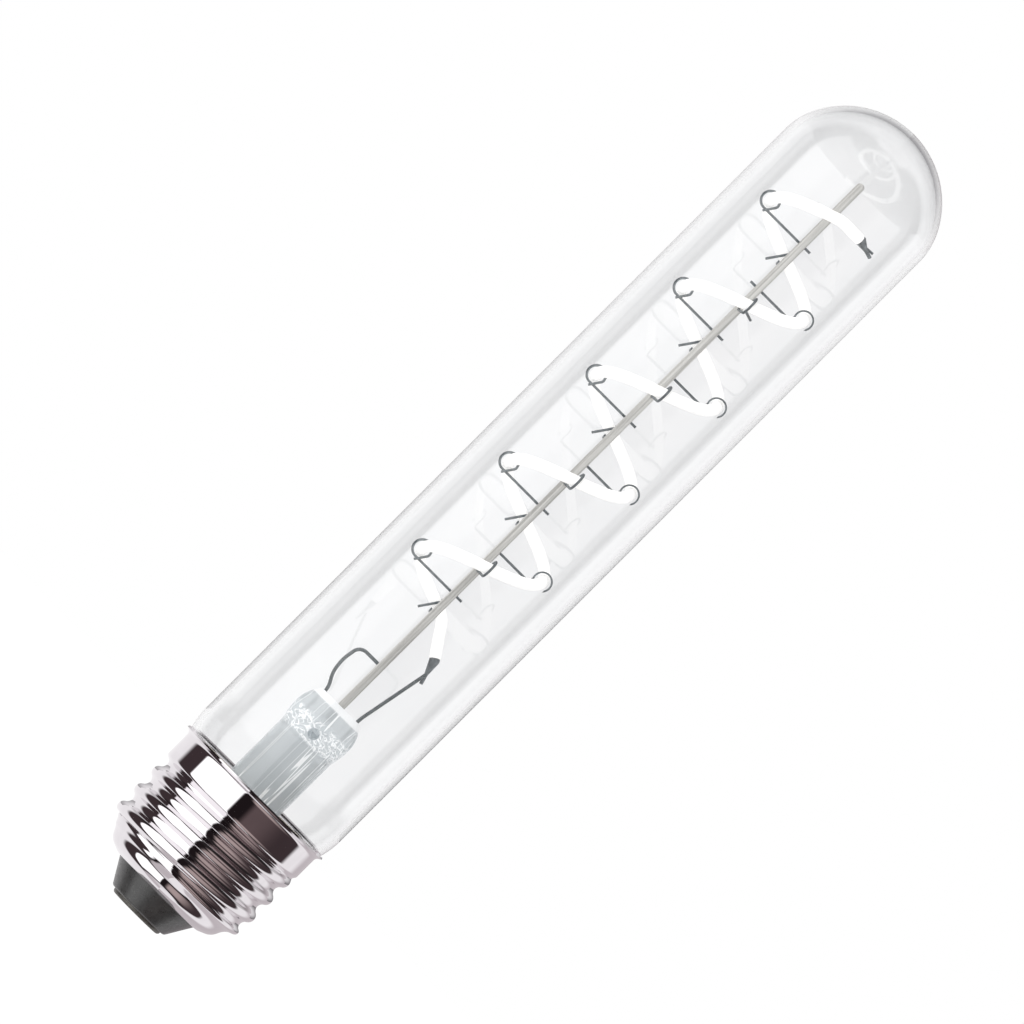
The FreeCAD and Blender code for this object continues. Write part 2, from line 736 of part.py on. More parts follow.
# Where a loop starts and ends, in degrees from straight out
LOOP_ENDS = {"left": (-90.0, 175.0), "front": (-90.0, 200.0), "right": (205.0, -40.0)}
LOOP_ENDS["back"] = LOOP_ENDS["front"]
# A hook grips the spiral only this far inside its ends, in degrees
GRIP_LOW = 4.0
GRIP_HIGH = 15.0


def hook_path(kind, stub):
    """A hook in its own frame: the rod is at the origin, X points out, and the leg is on X."""
    reach = cell("filament_radius")
    loop = cell("hook_loop")
    low, high = [math.radians(angle) for angle in LOOP_ENDS[kind]]

    def at(share):
        angle = low + (high - low) * share
        return V(reach + loop * math.cos(angle), 0, loop + loop * math.sin(angle))

    start = V(-stub, 0, 0)
    if kind == "right":
        kink = V(reach - 1.1 * loop, 0, 0)
        edges = bent_path([start, kink, at(0)], 0.4).Edges
    else:
        edges = [Part.LineSegment(start, at(0)).toShape()]
    edges.append(Part.Arc(at(0), at(0.5), at(1)).toShape())
    if kind == "left":
        # the end crosses the leg and passes beside it
        end = V(reach - 0.15 * loop, 1.6 * cell("hook_wire"), -cell("hook_tail"))
        heading = V(-math.sin(high), 0, math.cos(high))
        edges += run_out(at(1), heading, end, cell("hook_bend"))[0]
    return Part.Wire(edges)


def hooks():
    """Every hook, and the holes in the rod that hold them."""
    wire = cell("hook_wire")
    rod = cell("rod_dia") / 2
    made, holes = [], []
    for kind, (angle, lean) in HOOK_ROWS.items():
        swing = cell("hook_loop") * math.sin(math.radians(-lean)) / cell("filament_radius")
        climbed = (angle + math.degrees(swing) - LOW_ANGLE - GRIP_LOW) % 360 + GRIP_LOW
        places = []
        while climbed < top_angle - GRIP_HIGH:
            places.insert(0, climbed)
            climbed += 360
        # the rows are numbered from the dome down
        for i, climbed in enumerate(places, start=1):
            pokes_out = kind == "left" or (kind == "right" and i == 1)
            stub = rod + cell("hook_stub") if pokes_out else rod / 2
            rise = cell("hook_loop") * math.cos(math.radians(lean))
            base = V(0, 0, spiral_point(climbed).z - rise)
            turn = FreeCAD.Rotation(V(0, 0, 1), angle) * FreeCAD.Rotation(V(1, 0, 0), lean)
            place = FreeCAD.Placement(base, turn)
            shape = drawn(hook_path(kind, stub), wire)
            made.append(feature(f"hook_{kind}_{i}", shape, place))
            bore = wire / 2 + cell("wire_fit")
            depth = stub + cell("wire_fit") + 2 * rod
            start = V(-stub - cell("wire_fit"), 0, 0)
            hole = Part.makeCylinder(bore, depth, start, V(1, 0, 0))
            hole.Placement = place
            holes.append(hole)
    return made, holes


def terminal_path():
    """The wire from the rod to the filament's upper tab, behind the filament."""
    beside = cell("tab_tip") / 2 + cell("hook_wire") / 2 + 2 * cell("wire_fit")
    across = HIGH_TAB_HEADING.cross(V(0, 0, 1)).normalize()
    run = (cell("tab_length") + cell("tab_tail")) / 2
    crossing = high_end + HIGH_TAB_HEADING * run - across * beside
    end = crossing + V(0.9, 0.5, 0.5)
    bend = crossing + V(-1.6, -0.1, -0.5)
    return bent_path([V(0, 0, bend.z), bend, end])


def upper_terminal_wire():
    return feature("upper_terminal_wire", drawn(terminal_path(), cell("hook_wire")))


def centre_rod(holes):
    rod = cylinder("rod_blank", "size.rod_dia", "size.rod_foot", f"{ROD_TOP} - size.rod_foot")
    rounded = doc.addObject("Part::Fillet", "rod_rounded")
    rounded.Base = rod
    doc.recompute()
    top = number(ROD_TOP)
    for i, edge in enumerate(rod.Shape.Edges, start=1):
        if edge.isClosed() and abs(edge.BoundBox.ZMin - top) < 1e-6:
            rounded.Edges = [(i, cell("rod_dia") * 0.4, cell("rod_dia") * 0.4)]
    path = terminal_path()
    start = path.OrderedVertexes[0].Point
    run = path.OrderedEdges[0].tangentAt(path.OrderedEdges[0].FirstParameter)
    bore = cell("hook_wire") / 2 + cell("wire_fit")
    gap = cell("wire_fit")
    holes.append(Part.makeCylinder(bore, 2 * cell("rod_dia"), start - run * gap, run))
    tool = feature("rod_holes", Part.makeCompound(holes))
    return cut("centre_rod", rounded, [tool])


# Leads
def leads():
    wire = cell("lead_wire")
    spread = number(LEAD_SPREAD)
    press_top = number(PRESS_TOP)
    join = number(JOIN_HEIGHT)
    rise = cell("lead_rise")
    bulge = cell("lead_bulge")
    rod_side = -cell("rod_dia") / 2 - cell("wire_fit")
    left = [
        V(-spread, 0, join),
        V(-spread, 0, press_top + 0.13 * rise),
        V(-spread - 0.8 * bulge, 0, press_top + 0.4 * rise),
        V(-spread - bulge, 0, press_top + 0.7 * rise),
        V(-spread - 0.6 * bulge, 0, press_top + rise),
        V(rod_side, 0, press_top + rise),
    ]
    # the right lead lies beside the tail of the filament's lower tab
    tab_side = cell("tab_tip") / 2 + wire / 2 + 2 * cell("wire_fit")
    reach = cell("tab_length") + 0.85 * cell("tab_tail")
    weld = low_end + LOW_TAB_HEADING * reach + V(0, -tab_side, 0)
    right = [
        V(spread, 0, join),
        V(spread, 0, press_top + cell("lead_clear")),
        weld,
        weld - LOW_TAB_HEADING * cell("lead_lap"),
    ]
    made = [
        feature("lead_wire_left", drawn(bent_path(left, 0.4), wire)),
        feature("lead_wire_right", drawn(bent_path(right, 0.14), wire)),
    ]
    foot = f"{BOARD_FOOT} + 0.1"
    for side, x in (("left", f"-{LEAD_SPREAD}"), ("right", LEAD_SPREAD)):
        height = f"{JOIN_HEIGHT} - size.wire_fit - ({foot})"
        made.append(cylinder(f"outer_lead_{side}", "size.lead_wire", foot, height, x=x))
    return made


# Driver
def contact_wire():
    foot = "size.contact_proud * 2 + size.wire_fit"
    return cylinder("contact_wire", "size.lead_wire", foot, f"{BOARD_TOP} - ({foot})")


SHELL_WIRE_ANGLE = 135.0


def shell_wire():
    """From the driver board out to a root of the thread."""
    pitch = cell("thread_pitch")
    root = crest_height(SHELL_WIRE_ANGLE) + pitch / 2
    while root < number(BOARD_TOP) + 1.2:
        root += pitch
    wall = number(SHELL_INNER) - cell("thread_depth") - 3 * cell("fit")
    hole = number(WIRE_HOLE_RADIUS)
    points = [
        V(hole, 0, number(BOARD_FOOT) + 0.1),
        V(hole, 0, root),
        V(wall, 0, root),
    ]
    turn = FreeCAD.Placement(V(), FreeCAD.Rotation(V(0, 0, 1), SHELL_WIRE_ANGLE))
    return feature("shell_wire", drawn(bent_path(points), cell("lead_wire")), turn)


def driver_board():
    disc = cylinder("board_disc", f"2 * {BOARD_RADIUS}", BOARD_FOOT, "size.board_thickness")
    around = [f"{WIRE_HOLE_RADIUS} * {turn}({SHELL_WIRE_ANGLE} deg)" for turn in ("cos", "sin")]
    holes = []
    for i, (x, y) in enumerate(
        [
            ("0", "0"),
            (LEAD_SPREAD, "0"),
            (f"-{LEAD_SPREAD}", "0"),
            tuple(around),
        ]
    ):
        dia = "size.lead_wire + 2 * size.wire_fit"
        foot = f"{BOARD_FOOT} - 1"
        holes.append(cylinder(f"board_hole_{i + 1}", dia, foot, "size.board_thickness + 2", x=x, y=y))
    return cut("driver_board", disc, holes)


def package(name, x, y, wide, long):
    """A moulded package on the board with a row of legs down two sides."""
    box = doc.addObject("Part::Box", name + "_block")
    bind(box, Length=wide, Width=long, Height="size.chip_height - 0.1")
    bind(box, Placement__Base__x=f"{x} - {wide} / 2", Placement__Base__y=f"{y} - {long} / 2")
    bind(box, Placement__Base__z=f"{BOARD_TOP} + 0.1")
    legs = [box]
    for i in range(4):
        leg = doc.addObject("Part::Box", f"{name}_leg_{i + 1}")
        bind(leg, Length="size.chip_leg", Width=f"{long} + 2 * size.chip_leg", Height="0.2")
        bind(
            leg,
            Placement__Base__x=f"{x} + {wide} * {(i + 0.5) / 4 - 0.5} - size.chip_leg / 2",
            Placement__Base__y=f"{y} - {long} / 2 - size.chip_leg",
            Placement__Base__z=BOARD_TOP,
        )
        legs.append(leg)
    whole = doc.addObject("Part::MultiFuse", name)
    whole.Shapes = legs
    return whole


def filter_capacitor():
    radius = "size.capacitor_dia / 2"
    height = "size.capacitor_height"
    can = turned(
        "filter_capacitor",
        [
            ("0", "0"),
            (radius, "0"),
            (radius, "0.9"),
            (f"{radius} - 0.2", "1.15"),
            (radius, "1.4"),
            (radius, f"{height} - 0.4"),
            (f"{radius} - 0.4", height),
            ("0", height),
        ],
        {5: ("0.4", 1)},
    )
    bind(can, Placement__Base__y="-size.capacitor_front", Placement__Base__z=BOARD_TOP)
    return can


def fusible_resistor():
    x = -cell("resistor_side")
    radius = cell("resistor_dia") / 2
    length = cell("resistor_length")
    board = number(BOARD_TOP)
    height = board + radius + 0.05
    body = Part.makeCylinder(radius, length, V(x, -length / 2, height), V(0, 1, 0))
    end = length / 2 + 0.9
    points = [V(x, -end, board), V(x, -end, height), V(x, end, height), V(x, end, board)]
    legs = drawn(bent_path(points, 0.4), cell("hook_wire"))
    return feature("fusible_resistor", body.fuse(legs))


made = [
    screw_shell(),
    insulator(),
    centre_contact(),
    glass_envelope(),
    cap_cement(),
    stem(),
    exhaust_tube(),
    led_filament(),
    filament_tab("filament_tab_lower", low_end, low_heading, LOW_TAB_HEADING, cell("tab_length")),
    filament_tab(
        "filament_tab_upper", high_end, high_heading, HIGH_TAB_HEADING, cell("tab_length") / 2
    ),
    upper_terminal_wire(),
]
hook_wires, rod_holes = hooks()
made += hook_wires
made.append(centre_rod(rod_holes))
made += leads()
made += [
    contact_wire(),
    shell_wire(),
    driver_board(),
    package(
        "bridge_rectifier", "size.rectifier_side", "0", "size.rectifier_width", "size.rectifier_length"
    ),
    package("driver_chip", "0", "size.driver_back", "size.driver_width", "size.driver_length"),
    filter_capacitor(),
    fusible_resistor(),
]
doc.recompute()

for thing in doc.Objects:
    if "Invalid" in thing.State or "Error" in thing.State:
        raise RuntimeError(f"{thing.Name} did not recompute: {thing.State}")
for thing in made:
    thing.Label = thing.Name
    if thing.Shape.isNull() or not thing.Shape.isValid():
        raise RuntimeError(f"{thing.Name} has no valid shape")

os.makedirs("parts", exist_ok=True)
for thing in made:
    thing.Shape.exportStep(f"parts/{thing.Label}.step")
    print(f"{thing.Label}: {len(thing.Shape.Solids)} solid, {thing.Shape.Volume:.2f} mm3")
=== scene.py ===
import json
import math

import bmesh
import bpy
from mathutils import Matrix, Vector

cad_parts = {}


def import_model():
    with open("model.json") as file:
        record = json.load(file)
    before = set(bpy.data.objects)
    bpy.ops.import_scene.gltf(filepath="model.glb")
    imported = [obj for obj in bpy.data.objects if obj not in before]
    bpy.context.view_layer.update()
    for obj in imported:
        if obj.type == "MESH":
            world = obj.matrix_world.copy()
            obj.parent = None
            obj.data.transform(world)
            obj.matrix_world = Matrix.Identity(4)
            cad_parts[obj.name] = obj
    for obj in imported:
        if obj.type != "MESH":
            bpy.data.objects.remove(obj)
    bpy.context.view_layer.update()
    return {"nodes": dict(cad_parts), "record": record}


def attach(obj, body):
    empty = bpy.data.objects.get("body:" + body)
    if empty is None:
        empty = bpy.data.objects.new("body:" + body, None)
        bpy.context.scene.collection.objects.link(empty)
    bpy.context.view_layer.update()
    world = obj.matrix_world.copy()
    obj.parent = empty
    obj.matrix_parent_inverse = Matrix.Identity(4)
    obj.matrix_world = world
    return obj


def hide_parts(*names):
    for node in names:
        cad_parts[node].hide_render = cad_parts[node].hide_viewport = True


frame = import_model()
nodes = frame["nodes"]
bpy.context.scene.view_settings.view_transform = "Standard"
MM = 0.001


def linked(thing):
    """Puts an object into the scene."""
    bpy.context.scene.collection.objects.link(thing)
    return thing


def node_tree(material):
    """The nodes and links of a material or world."""
    material.use_nodes = True
    return material.node_tree.nodes, material.node_tree.links


def shader(material):
    return material.node_tree.nodes["Principled BSDF"]


# Camera: level with the bulb, looking along +Y, rolled so that the bulb lies on the diagonal
VIEW_WIDTH = 151.3 * MM
VIEW_CENTRE = Vector((-2.47, 0, 81.25)) * MM
ROLL = math.radians(45)
LENS = 600
SENSOR = 36
CLIP = (0.01, 50)


def camera():
    data = bpy.data.cameras.new("camera")
    data.sensor_width = SENSOR
    data.lens = LENS
    data.clip_start, data.clip_end = CLIP
    thing = linked(bpy.data.objects.new("camera", data))
    thing.location = VIEW_CENTRE + Vector((0, -VIEW_WIDTH * LENS / SENSOR, 0))
    thing.rotation_euler = (math.radians(90), -ROLL, 0)
    bpy.context.scene.camera = thing


# World: even white light, as in a light tent. It lights things a little less than it shows in
# them and behind them.
WORLD_SEEN = 1.0
WORLD_LIGHT = 0.85


def world():
    made = bpy.data.worlds.new("tent")
    bpy.context.scene.world = made
    all_nodes, links = node_tree(made)
    background = all_nodes["Background"]
    background.inputs["Color"].default_value = (1, 1, 1, 1)
    path = all_nodes.new("ShaderNodeLightPath")
    seen = path.outputs["Is Camera Ray"]
    for ray in ("Is Glossy Ray", "Is Transmission Ray"):
        more = all_nodes.new("ShaderNodeMath")
        more.operation = "MAXIMUM"
        links.new(seen, more.inputs[0])
        links.new(path.outputs[ray], more.inputs[1])
        seen = more.outputs[0]
    level = all_nodes.new("ShaderNodeMapRange")
    level.inputs["To Min"].default_value = WORLD_LIGHT
    level.inputs["To Max"].default_value = WORLD_SEEN
    links.new(seen, level.inputs["Value"])
    links.new(level.outputs[0], background.inputs["Strength"])


# Floor, well under the bulb. What it lacks to white is added for the camera, so its shadow stays.
FLOOR = -45 * MM
FLOOR_SIZE = 3.0
FLOOR_COLOUR = (0.92, 0.92, 0.92)
FLOOR_ROUGHNESS = 0.9
FLOOR_LIFT = 0.24


def floor():
    mesh = bpy.data.meshes.new("floor")
    corners = [
        (x * FLOOR_SIZE, y * FLOOR_SIZE, FLOOR) for x, y in ((-1, -1), (1, -1), (1, 1), (-1, 1))
    ]
    mesh.from_pydata(corners, [], [(0, 1, 2, 3)])
    material = surface("floor", FLOOR_COLOUR, roughness=FLOOR_ROUGHNESS, Specular_IOR_Level=0.0)
    all_nodes, links = node_tree(material)
    path = all_nodes.new("ShaderNodeLightPath")
    lift = all_nodes.new("ShaderNodeMath")
    lift.operation = "MULTIPLY"
    lift.inputs[1].default_value = FLOOR_LIFT
    links.new(path.outputs["Is Camera Ray"], lift.inputs[0])
    links.new(lift.outputs[0], shader(material).inputs["Emission Strength"])
    shader(material).inputs["Emission Color"].default_value = (1, 1, 1, 1)
    mesh.materials.append(material)
    thing = linked(bpy.data.objects.new("floor", mesh))
    thing.visible_glossy = False
    thing.visible_transmission = False


# Light tents: two spheres round the cap, one that only gloss shows and one that only shines
# through glass. Their tones follow the direction: around is in degrees from the front towards
# the right, rise in degrees over level.
TENT_RADIUS = 0.5
TENT_CENTRE = 13.5 * MM
WHITE = (1.0, 1.0, 1.0)
PALE = (0.98, 0.965, 0.975)
DULL = (0.6, 0.555, 0.575)
PINK = (0.52, 0.42, 0.405)
LIGHT_BOX = (1.4, 1.4, 1.4)
BLACK = (0.014, 0.01, 0.011)
DARK = (0.05, 0.035, 0.038)
BROWN = (0.12, 0.086, 0.088)
SHADE = (0.022, 0.018, 0.019)
MID_GREY = (0.5, 0.5, 0.51)
CEILING = (0.36, 0.36, 0.37)
# Tones round the cap, from the left: where each joins the one before, the tone, and how soft
# the join is, in degrees
AROUND_CAP = [
    (-180, PALE, 1),
    (-116, DARK, 12),
    (-82, LIGHT_BOX, 3),
    (-9, BLACK, 3),
    (12, BROWN, 10),
    (50, DARK, 44),
    (100, PALE, 9),
    (132, DULL, 20),
]
# Tones round the glass tube
AROUND_TUBE = [
    (-180, WHITE, 1),
    (-112, SHADE, 3),
    (-87, WHITE, 3),
    (-38, MID_GREY, 14),
    (7, WHITE, 14),
    (91, SHADE, 3),
    (108, WHITE, 3),
]
# Where the tones change that aren't held all the way up: each runs from the first angle to the
# second. The warm room lies on the right, the light box on the left.
WARM_STARTS, WARM_ENDS_OVER, WARM_ENDS_UNDER = (5, 16), (30, 46), (54, 63)
WARM_LEFT, WARM_RIGHT = (2, 14), (30, 85)
WARM_SHARE, WARM_SHARE_OVERHEAD = 0.85, 0.5
BOX_LEFT, BOX_RIGHT = (-85, -80), (-12, -8)
BOX_TOP, BOX_FOOT = (59, 61), (63, 65)
FRONT_ENDS = (98, 108)
OVERHEAD, OVERHEAD_BEHIND = (22, 32), 0.4
UNDERFOOT = (59, 65)
GROUND, GROUND_SIDES = (69, 73), (-90, 60)
ZENITH = (76, 80)
# The same for the glass: its dark foot ends at TUBE_LOW, rounded off towards the sides
TUBE_LOW, TUBE_TOP = 0.5, 21.0
FOOT_SIDES, FOOT_BEND, FOOT_JOIN = (120, 140), (55, 90), (-0.1, 0.15)
FOOT_CLIMB = 0.4
GLASS_OVERHEAD = (26, 50)
# Rows of the tents, closer together where the tube's foot is reflected
TENT_ROW = 2
FOOT_ROWS = (-1, 0, 0.3, 0.5, 0.7, 0.9, 1.2)
# Sides that only gloss shows, behind the tube: from, to, and the tone at their foot, from which
# they pale upwards
BEHIND_TUBE = {"left": (-174, -141, (0.42, 0.41, 0.42)), "right": (141, 174, (0.22, 0.21, 0.22))}
BEHIND_RADIUS = 0.98 * TENT_RADIUS
BEHIND_PALING = 0.75
BEHIND_ROWS = 20


def smooth(low, high, amount):
    """0 up to low, 1 from high on, and an even S between them."""
    share = min(max((amount - low) / (high - low), 0.0), 1.0)
    return share * share * (3 - 2 * share)


def blend(first, second, share):
    """The first tone with that share of the second."""
    return tuple(a + (b - a) * share for a, b in zip(first, second))


def along(tones, around):
    """The tone of a list at a direction."""
    tone = tones[0][1]
    for start, following, soft in tones[1:]:
        tone = blend(tone, following, smooth(start - soft / 2, start + soft / 2, around))
    return tone


def gloss_tone(around, rise):
    """A light box on the left, a warm dark room on the right, and pale sides."""
    tone = along(AROUND_CAP, around)
    height = abs(rise)
    warm_ends = WARM_ENDS_OVER if rise > 0 else WARM_ENDS_UNDER
    warm = smooth(*WARM_STARTS, height) * (1 - smooth(*warm_ends, height))
    warm *= smooth(*WARM_LEFT, around) * (1 - smooth(*WARM_RIGHT, around))
    tone = blend(tone, PINK, WARM_SHARE * warm)
    in_box = smooth(*BOX_LEFT, around) * (1 - smooth(*BOX_RIGHT, around))
    past_box = max(smooth(*BOX_TOP, rise), smooth(*BOX_FOOT, -rise))
    front = 1 - smooth(*FRONT_ENDS, abs(around))
    over = smooth(*OVERHEAD, rise) * (OVERHEAD_BEHIND + (1 - OVERHEAD_BEHIND) * front)
    over *= 1 - WARM_SHARE_OVERHEAD * warm
    under = smooth(*UNDERFOOT, -rise) * front
    tone = blend(tone, SHADE, max(over, under) * (1 - in_box))
    tone = blend(tone, BLACK, past_box * in_box)
    if rise < 0:
        ground = blend(DULL, PALE, smooth(*GROUND_SIDES, around))
        return blend(tone, ground, smooth(*GROUND, height))
    return blend(tone, DULL, smooth(*ZENITH, height))


def glass_tone(around, rise):
    """White, with two dark strips beside the tube, a dark foot and a grey ceiling."""
    tone = along(AROUND_TUBE, around)
    sides = 1 - smooth(*FOOT_SIDES, abs(around))
    foot = TUBE_LOW + FOOT_CLIMB * smooth(*FOOT_BEND, abs(around))
    tone = blend(tone, SHADE, (1 - smooth(*FOOT_JOIN, rise - foot)) * sides)
    return blend(tone, CEILING, smooth(*GLASS_OVERHEAD, rise))


def on_tent(around, rise, radius):
    turn, lift = math.radians(around), math.radians(rise)
    flat = radius * math.cos(lift)
    height = TENT_CENTRE + radius * math.sin(lift)
    return (flat * math.sin(turn), -flat * math.cos(turn), height)


def glow_only(name, vertices, faces, tones, in_glass):
    """A stage piece that only gloss shows, or only what shines through glass."""
    mesh = bpy.data.meshes.new(name)
    mesh.from_pydata(vertices, [], faces)
    layer = mesh.color_attributes.new("tone", "FLOAT_COLOR", "POINT")
    for i, tone in enumerate(tones):
        layer.data[i].color = (*tone, 1)
    material = bpy.data.materials.new(name)
    all_nodes, links = node_tree(material)
    tone = all_nodes.new("ShaderNodeAttribute")
    tone.attribute_name = "tone"
    glow = all_nodes.new("ShaderNodeEmission")
    links.new(tone.outputs["Color"], glow.inputs["Color"])
    links.new(glow.outputs[0], all_nodes["Material Output"].inputs["Surface"])
    material.cycles.emission_sampling = "NONE"
    mesh.materials.append(material)
    thing = linked(bpy.data.objects.new(name, mesh))
    thing.visible_camera = False
    thing.visible_diffuse = False
    thing.visible_shadow = False
    thing.visible_glossy = not in_glass
    thing.visible_transmission = in_glass


def patch(name, arounds, rises, radius, tone_at, in_glass=False):
    """A grid on the tent between the given directions."""
    vertices = [on_tent(a, r, radius) for a in arounds for r in rises]
    tones = [tone_at(a, r) for a in arounds for r in rises]
    rows = len(rises)
    faces = []
    for i in range(len(arounds) - 1):
        for j in range(rows - 1):
            low = i * rows + j
            faces.append((low, low + rows, low + rows + 1, low + 1))
    glow_only(name, vertices, faces, tones, in_glass)


def light_tents():
    arounds = range(-180, 181)
    rises = [*range(-90, 0, TENT_ROW), *FOOT_ROWS, *range(TENT_ROW, 91, TENT_ROW)]
    patch("tent_gloss", arounds, rises, TENT_RADIUS, gloss_tone)
    patch("tent_glass", arounds, rises, TENT_RADIUS, glass_tone, in_glass=True)


def behind_tube():
    climb_a_row = (TUBE_TOP - TUBE_LOW) / BEHIND_ROWS
    rises = [TUBE_LOW + climb_a_row * i for i in range(BEHIND_ROWS + 1)]
    for side, (first, last, foot) in BEHIND_TUBE.items():

        def tone(around, rise):
            return blend(foot, PALE, BEHIND_PALING * smooth(TUBE_LOW, TUBE_TOP, rise))

        patch(f"behind_{side}", range(first, last + 1), rises, BEHIND_RADIUS, tone)


# Lamp: a soft box up on the left
LAMP_SIZE = (0.5, 0.9)
LAMP_POWER = 3
LAMP_PLACE = Vector((-0.55, -0.7, 0.35))
LAMP_AIM = Vector((0, 0, 0.08))


def soft_light():
    data = bpy.data.lights.new("softbox", "AREA")
    data.shape = "RECTANGLE"
    data.size, data.size_y = LAMP_SIZE
    data.energy = LAMP_POWER
    thing = linked(bpy.data.objects.new("softbox", data))
    thing.location = LAMP_PLACE
    thing.rotation_euler = (LAMP_AIM - LAMP_PLACE).to_track_quat("-Z", "Y").to_euler()
    thing.visible_glossy = False
    thing.visible_transmission = False


# Shapes. All lengths below are in millimetres, and meshes are made in metres.
ON_AXIS = 1e-4


def V(x, y, z):
    return Vector((x, y, z))


def arc(centre, first, last, steps):
    """Points on the arc from first to last round a centre."""
    a, b = first - centre, last - centre
    turn = a.angle(b)
    line = []
    for i in range(steps + 1):
        done = i / steps
        spoke = a * math.sin((1 - done) * turn) + b * math.sin(done * turn)
        line.append(centre + spoke / math.sin(turn))
    return line


def rounded(points, share=0.45, steps=10):
    """Straight runs joined by tangent arcs, each taking a share of the shorter run beside it."""
    line = [points[0]]
    for before, corner, after in zip(points, points[1:], points[2:]):
        back, ahead = before - corner, after - corner
        reach = share * min(back.length, ahead.length)
        back.normalize()
        ahead.normalize()
        half = back.angle(ahead) / 2
        radius = reach * math.tan(half)
        centre = corner + (back + ahead).normalized() * (radius / math.sin(half))
        line += arc(centre, corner + back * reach, corner + ahead * reach, steps)
    return line + [points[-1]]


def resampled(line, count):
    """The same line by evenly spaced points."""
    runs = [0.0]
    for a, b in zip(line, line[1:]):
        runs.append(runs[-1] + (b - a).length)
    result, i = [], 0
    for k in range(count):
        target = runs[-1] * k / (count - 1)
        while i < len(line) - 2 and runs[i + 1] < target:
            i += 1
        span = runs[i + 1] - runs[i]
        result.append(line[i].lerp(line[i + 1], (target - runs[i]) / span if span else 0.0))
    return result


def piece(name, mesh, node, material, sharp=40):
    """A smooth mesh that stands for a node and takes its slot."""
    work = bmesh.new()
    work.from_mesh(mesh)
    bmesh.ops.recalc_face_normals(work, faces=work.faces)
    work.to_mesh(mesh)
    work.free()
    mesh.shade_smooth()
    mesh.set_sharp_from_angle(angle=math.radians(sharp))
    mesh.materials.append(material)
    thing = linked(bpy.data.objects.new(name, mesh))
    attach(thing, "root")
    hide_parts(node)
    return thing


def turned_mesh(name, columns):
    """A closed skin through columns of (radius, height), one for each side round the axis."""
    sides, rows = len(columns), len(columns[0])
    vertices, place = [], {}
    for side, column in enumerate(columns):
        turn = 2 * math.pi * side / sides
        for i, (radius, height) in enumerate(column):
            key = (side if radius > ON_AXIS else 0, i)
            if key not in place:
                place[key] = len(vertices)
                x, y = radius * math.cos(turn), radius * math.sin(turn)
                vertices.append((x * MM, y * MM, height * MM))

    def corner(side, i):
        side, i = side % sides, i % rows
        return place[(side if columns[side][i][0] > ON_AXIS else 0, i)]

    faces = []
    for side in range(sides):
        for i in range(rows):
            ring = ((side, i), (side + 1, i), (side + 1, i + 1), (side, i + 1))
            face = tuple(dict.fromkeys(corner(*spot) for spot in ring))
            if len(face) > 2:
                faces.append(face)
    mesh = bpy.data.meshes.new(name)
    mesh.from_pydata(vertices, [], faces)
    return mesh


def tube_mesh(name, line, radii, sides=16):
    """A round bar along a line; radii is one radius or one for each point."""
    if not isinstance(radii, list):
        radii = [radii] * len(line)
    vertices, faces = [], []
    heading = (line[1] - line[0]).normalized()
    side = heading.orthogonal().normalized()
    for i, (point, radius) in enumerate(zip(line, radii)):
        run = (line[min(i + 1, len(line) - 1)] - line[max(i - 1, 0)]).normalized()
        side = (side - run * side.dot(run)).normalized()
        across = run.cross(side)
        for k in range(sides):
            turn = 2 * math.pi * k / sides
            spoke = side * math.cos(turn) + across * math.sin(turn)
            vertices.append((point + spoke * radius) * MM)
        if i:
            for k in range(sides):
                a, b = (i - 1) * sides + k, (i - 1) * sides + (k + 1) % sides
                faces.append((a, b, b + sides, a + sides))
    faces.append(tuple(range(sides)))
    faces.append(tuple(range(len(vertices) - sides, len(vertices))))
    mesh = bpy.data.meshes.new(name)
    mesh.from_pydata(vertices, [], faces)
    return mesh


# Screw shell: a bowl, the rolled thread, a collar and a flared lip. The bowl's corner and waist
# are (share of the way out from the hole to the crests, height over the foot).
THREAD_RADIUS = 13.2
THREAD_DEPTH = 1.05
THREAD_PITCH = 3.629
FIRST_CREST = 8.0
SHELL_WALL = 0.3
SHELL_FOOT = 4.6
BOWL_TOP = 8.25
COLLAR_FOOT = 20.65
LIP_FOOT = 24.55
LIP_TOP = 25.05
LIP_RADIUS = 14.0
HOLE_RADIUS = 7.725
BOWL_FLAT = 0.575
BOWL_CORNER = (0.47, 0.85)
BOWL_WAIST = (0.66, 2.95)
BOWL_ROUNDING = 0.42
FADE_UNDER = 0.85
FADE_OVER = 1.4
SHELL_SIDES = 144
SHELL_ROWS = 150


def thread_wave(turns):
    """Depth share of the rolled profile: 0 at a crest, 1 at a root, equal arcs between."""
    quarter = THREAD_PITCH / 4
    radius = quarter / math.sin(2 * math.atan(THREAD_DEPTH / 2 / quarter))
    reach = abs((turns + 0.5) % 1.0 - 0.5) * 4 * quarter
    if reach < quarter:
        return (radius - math.sqrt(radius**2 - reach**2)) / THREAD_DEPTH
    return 1 - (radius - math.sqrt(radius**2 - (2 * quarter - reach) ** 2)) / THREAD_DEPTH


def shell_line():
    """The outside before the thread is rolled."""
    width = THREAD_RADIUS - HOLE_RADIUS
    corners = [V(HOLE_RADIUS, 0, SHELL_FOOT), V(HOLE_RADIUS + BOWL_FLAT, 0, SHELL_FOOT)]
    for share, height in (BOWL_CORNER, BOWL_WAIST):
        corners.append(V(HOLE_RADIUS + share * width, 0, SHELL_FOOT + height))
    corners += [V(THREAD_RADIUS, 0, BOWL_TOP), V(THREAD_RADIUS, 0, LIP_FOOT)]
    corners.append(V(LIP_RADIUS, 0, LIP_TOP))
    return resampled(rounded(corners, BOWL_ROUNDING), SHELL_ROWS)


